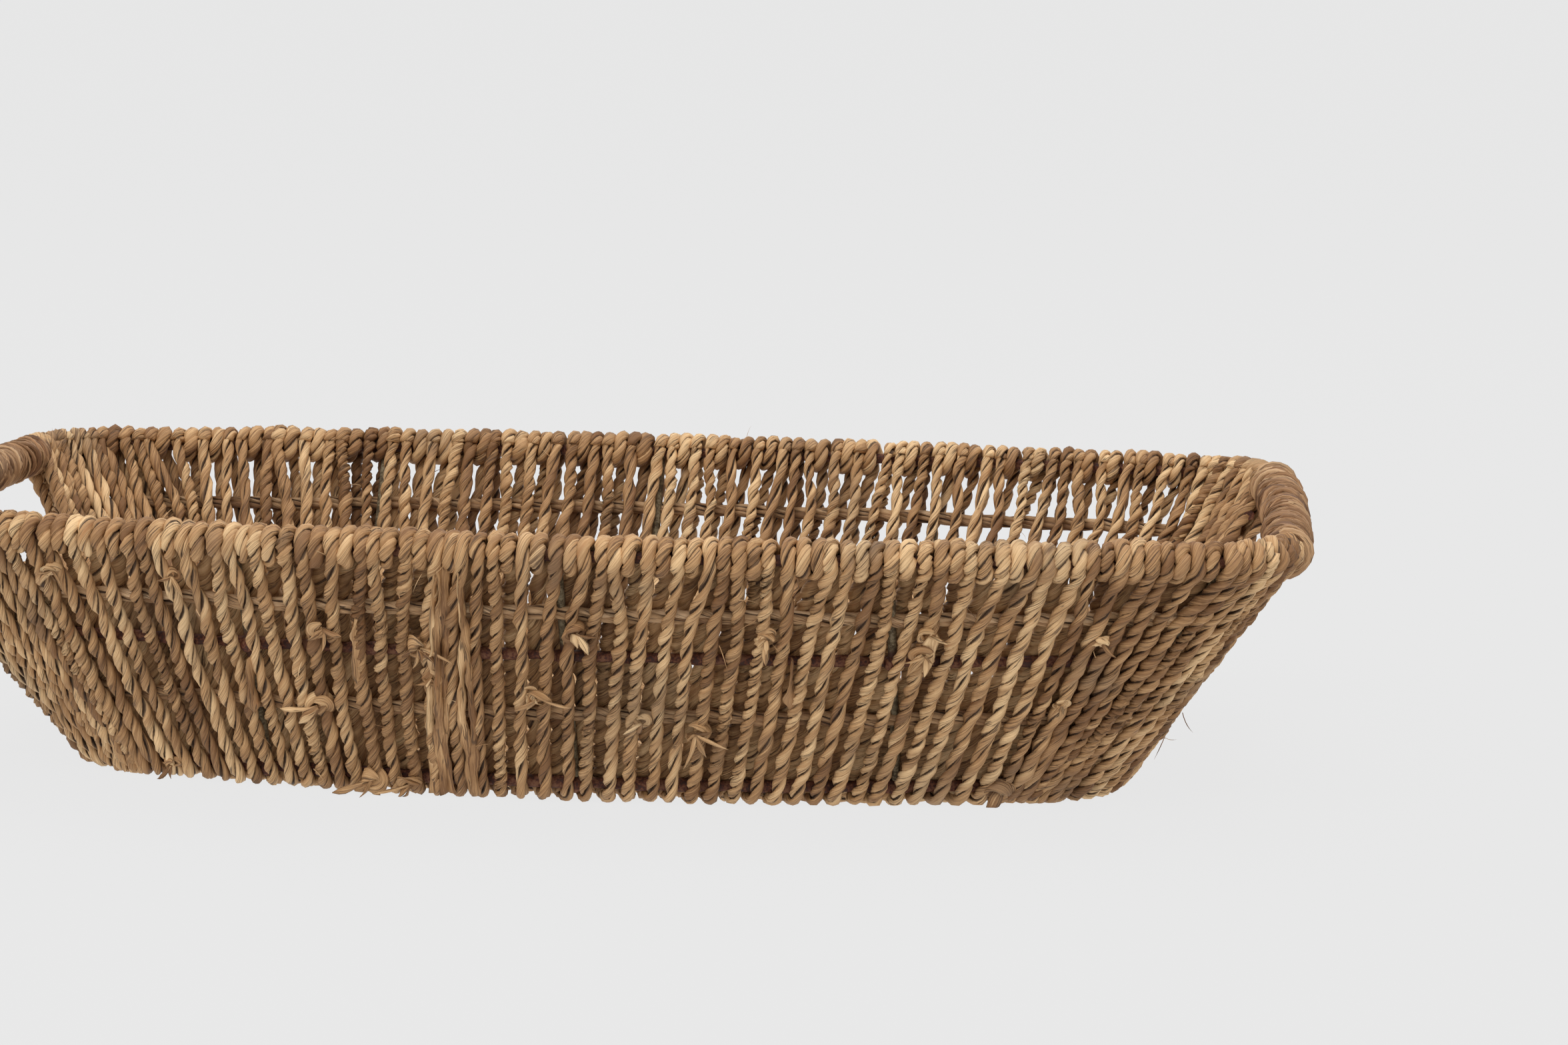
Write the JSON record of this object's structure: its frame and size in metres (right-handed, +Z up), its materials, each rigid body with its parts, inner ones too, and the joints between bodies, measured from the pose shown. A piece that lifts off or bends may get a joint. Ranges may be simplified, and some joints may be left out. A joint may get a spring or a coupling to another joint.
{
  "type": "bread basket",
  "caption": "Flared rounded-rectangle basket of twisted seagrass rope wound over a welded wire frame, with a wrapped rim and a hand hole under the rim at each short end.",
  "frame": {"origin": "middle of the footprint, on the plane that the basket stands on", "axes": "+X along the long side, +Y to the back, +Z up out of the open top"},
  "size_m": [0.4, 0.232, 0.08],
  "materials": {
    "seagrass_rope": "dry twisted seagrass rope, tan with straw highlights and dark creases",
    "grip_strands": "dense fine untwisted seagrass strands",
    "twine": "flat pale seagrass strands",
    "rusty_wire": "dark red-brown rusted iron wire",
    "rib_wire": "dull olive-khaki coated iron wire"
  },
  "bodies": {
    "root": {"rim_wire": "rusty_wire", "middle_wire": "rusty_wire", "base_wire": "rusty_wire", "rib_left": "rib_wire", "rib_centre": "rib_wire", "rib_right": "rib_wire", "corner_post_front_left": "rib_wire", "corner_post_front_right": "rib_wire", "corner_post_back_left": "rib_wire", "corner_post_back_right": "rib_wire", "rim_wrap_front": "seagrass_rope", "rim_wrap_back": "seagrass_rope", "rim_corner_wrap_front_left": "seagrass_rope", "rim_corner_wrap_front_right": "seagrass_rope", "rim_corner_wrap_back_left": "seagrass_rope", "rim_corner_wrap_back_right": "seagrass_rope", "grip_wrap_left": "grip_strands", "grip_wrap_right": "grip_strands", "sill_wrap_left": "seagrass_rope", "sill_wrap_right": "seagrass_rope", "outer_ropes_front": "seagrass_rope", "outer_ropes_back": "seagrass_rope", "outer_ropes_left": "seagrass_rope", "outer_ropes_right": "seagrass_rope", "inner_ropes_front": "seagrass_rope", "inner_ropes_back": "seagrass_rope", "inner_ropes_left": "seagrass_rope", "inner_ropes_right": "seagrass_rope", "base_edge_front": "seagrass_rope", "base_edge_back": "seagrass_rope", "base_edge_left": "seagrass_rope", "base_edge_right": "seagrass_rope", "upper_twine_row": "twine", "lower_twine_row": "twine", "floor_lower_ropes": "seagrass_rope", "floor_upper_ropes": "seagrass_rope", "floor_twine_rows": "twine"}
  },
  "joints": []
}
